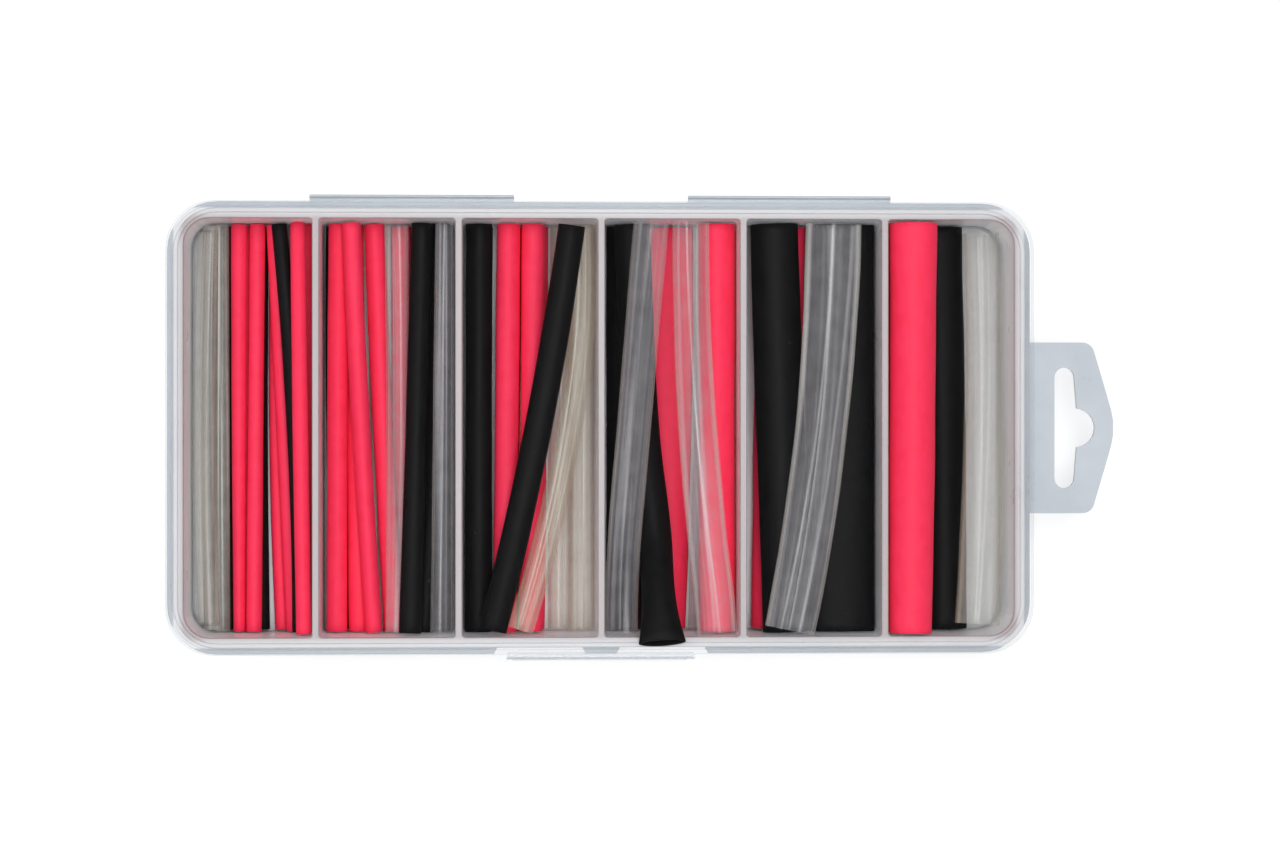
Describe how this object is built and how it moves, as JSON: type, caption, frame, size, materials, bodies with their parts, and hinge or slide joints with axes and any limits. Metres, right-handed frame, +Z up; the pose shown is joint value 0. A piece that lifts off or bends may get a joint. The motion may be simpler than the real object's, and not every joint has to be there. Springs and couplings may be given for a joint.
{
  "type": "heat-shrink tubing storage case",
  "caption": "Hanging storage case with six long compartments, a clear hinged lid and a pull latch, filled with loose red, black and clear heat-shrink tubes.",
  "frame": {"origin": "on the flat underside of the tray, under the middle of its rim", "axes": "+X along the case towards the hang tab, +Y from the latch towards the hinge, +Z up"},
  "size_m": [0.231, 0.1139, 0.0341],
  "materials": {
    "case": "translucent polypropylene, faint satin",
    "lid": "clear polypropylene, glossy",
    "tube_red": "matte extruded polyolefin",
    "tube_black": "matte extruded polyolefin, dusty",
    "tube_clear": "clear extruded polyolefin, faint lines along it"
  },
  "bodies": {
    "case": {"tray": "case", "tube_3mm_black_1": "tube_black", "tube_3mm_black_2": "tube_black", "tube_3mm_red_1": "tube_red", "tube_3mm_black_3": "tube_black", "tube_3mm_red_2": "tube_red", "tube_3mm_clear_1": "tube_clear", "tube_3mm_clear_2": "tube_clear", "tube_3mm_clear_3": "tube_clear", "tube_3mm_clear_4": "tube_clear", "tube_3mm_red_3": "tube_red", "tube_3mm_red_4": "tube_red", "tube_3mm_red_5": "tube_red", "tube_3mm_red_6": "tube_red", "tube_3mm_black_4": "tube_black", "tube_3mm_red_7": "tube_red", "tube_4mm_black_1": "tube_black", "tube_4mm_red_1": "tube_red", "tube_4mm_clear_1": "tube_clear", "tube_4mm_red_2": "tube_red", "tube_4mm_black_2": "tube_black", "tube_4mm_black_3": "tube_black", "tube_4mm_red_3": "tube_red", "tube_4mm_red_4": "tube_red", "tube_4mm_black_4": "tube_black", "tube_4mm_red_5": "tube_red", "tube_4mm_clear_2": "tube_clear", "tube_4mm_black_5": "tube_black", "tube_4mm_clear_3": "tube_clear", "tube_5mm_black_1": "tube_black", "tube_5mm_red_1": "tube_red", "tube_5mm_red_2": "tube_red", "tube_5mm_clear_1": "tube_clear", "tube_5mm_clear_2": "tube_clear", "tube_5mm_black_2": "tube_black", "tube_5mm_red_3": "tube_red", "tube_5mm_red_4": "tube_red", "tube_5mm_clear_3": "tube_clear", "tube_5mm_black_3": "tube_black", "tube_8mm_black_1": "tube_black", "tube_8mm_red_1": "tube_red", "tube_8mm_clear_1": "tube_clear", "tube_8mm_black_2": "tube_black", "tube_8mm_red_2": "tube_red", "tube_8mm_clear_2": "tube_clear", "tube_8mm_clear_3": "tube_clear", "tube_10mm_red_1": "tube_red", "tube_10mm_black_1": "tube_black", "tube_10mm_black_2": "tube_black", "tube_10mm_black_3": "tube_black", "tube_10mm_clear_1": "tube_clear", "tube_11mm_red_1": "tube_red", "tube_11mm_black_1": "tube_black", "tube_11mm_clear_1": "tube_clear", "tube_11mm_red_2": "tube_red"},
    "lid_body": {"lid": "lid"},
    "latch_body": {"latch": "lid"}
  },
  "joints": [
    {"name": "lid_hinge", "type": "hinge", "parent": "case", "child": "lid_body", "pos_m": [0, 0.0563, 0.02372], "axis": [-1, 0, 0], "range_deg": [0, 180]},
    {"name": "latch_hinge", "type": "hinge", "parent": "lid_body", "child": "latch_body", "pos_m": [0, -0.05575, 0.02475], "axis": [-1, 0, 0], "range_deg": [0, 90]}
  ]
}
